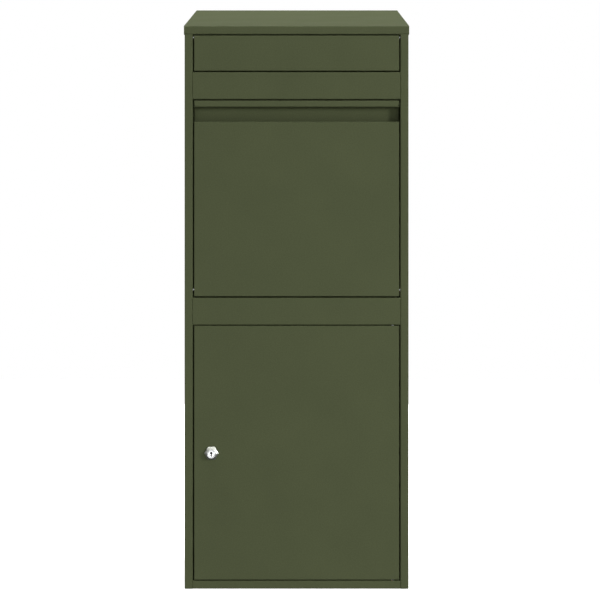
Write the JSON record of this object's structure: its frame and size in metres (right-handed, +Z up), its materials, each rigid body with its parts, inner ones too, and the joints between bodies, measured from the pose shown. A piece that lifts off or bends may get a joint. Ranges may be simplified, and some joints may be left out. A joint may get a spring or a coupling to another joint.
{
  "type": "parcel drop box",
  "caption": "Free-standing steel parcel box with a sprung letter flap, a tilting parcel hopper door, a locked retrieval door and a sloped roof.",
  "frame": {"origin": "on the floor, under the middle of the whole box's bounding box", "axes": "+X to the right seen from the front, the front faces -Y, +Z up"},
  "size_m": [0.4124, 0.3952, 1.1243],
  "materials": {
    "powder_coat": "fine matt olive powder coat on steel sheet",
    "zinc_steel": "bright zinc-plated steel",
    "lock_chrome": "polished chrome plate",
    "nylon": "natural moulded nylon",
    "rubber": "matt black moulded rubber"
  },
  "bodies": {
    "cabinet": {"left_side_panel": "powder_coat", "right_side_panel": "powder_coat", "rear_panel": "powder_coat", "base_pan": "powder_coat", "roof_cap": "powder_coat", "roof_brace": "powder_coat", "upper_rail": "powder_coat", "middle_rail": "powder_coat", "letter_chute": "powder_coat", "rear_baffle": "powder_coat", "lock_keeper": "zinc_steel", "flap_bush_left": "nylon", "flap_bush_right": "nylon", "parcel_bush_left": "nylon", "parcel_bush_right": "nylon", "door_bush_top": "nylon", "door_bush_bottom": "nylon", "parcel_door_buffers": "rubber", "retrieval_door_buffers": "rubber", "rear_rivets": "powder_coat", "roof_rivets": "powder_coat", "chute_rivets": "powder_coat", "baffle_rivets": "powder_coat", "keeper_rivets": "powder_coat"},
    "letter_flap": {"letter_flap_skin": "powder_coat", "flap_pin_left": "zinc_steel", "flap_pin_right": "zinc_steel", "flap_spring_left": "zinc_steel", "flap_spring_right": "zinc_steel", "flap_stop_tabs": "powder_coat", "flap_buffers": "rubber"},
    "parcel_hopper": {"parcel_door_skin": "powder_coat", "parcel_door_liner": "powder_coat", "hopper_tray": "powder_coat", "hopper_cheek_left": "powder_coat", "hopper_cheek_right": "powder_coat", "hopper_stop_left": "rubber", "hopper_stop_right": "rubber", "parcel_pin_left": "zinc_steel", "parcel_pin_right": "zinc_steel", "cheek_rivets": "powder_coat", "tray_rivets": "powder_coat"},
    "retrieval_door": {"retrieval_door_skin": "powder_coat", "door_stiffener_left": "powder_coat", "door_stiffener_right": "powder_coat", "door_pin_top": "zinc_steel", "door_pin_bottom": "zinc_steel", "lock_barrel": "lock_chrome", "lock_bezel": "lock_chrome", "lock_back_nut": "zinc_steel"},
    "key_plug": {"lock_plug": "lock_chrome", "lock_cam": "zinc_steel", "cam_screw": "zinc_steel"}
  },
  "joints": [
    {"name": "flap_hinge", "type": "hinge", "parent": "cabinet", "child": "letter_flap", "pos_m": [0, -0.1786, 1.0095], "axis": [1, 0, 0], "range_deg": [0, 75], "stiffness_Nm_per_rad": 0.08, "springref_deg": -68.75},
    {"name": "hopper_hinge", "type": "hinge", "parent": "cabinet", "child": "parcel_hopper", "pos_m": [0, -0.1786, 0.547], "axis": [1, 0, 0], "range_deg": [0, 50]},
    {"name": "door_hinge", "type": "hinge", "parent": "cabinet", "child": "retrieval_door", "pos_m": [0.176, -0.1786, 0.249], "axis": [0, 0, 1], "range_deg": [0, 115]},
    {"name": "lock_turn", "type": "hinge", "parent": "retrieval_door", "child": "key_plug", "pos_m": [-0.1555, -0.1846, 0.2475], "axis": [0, -1, 0], "range_deg": [0, 90]}
  ]
}
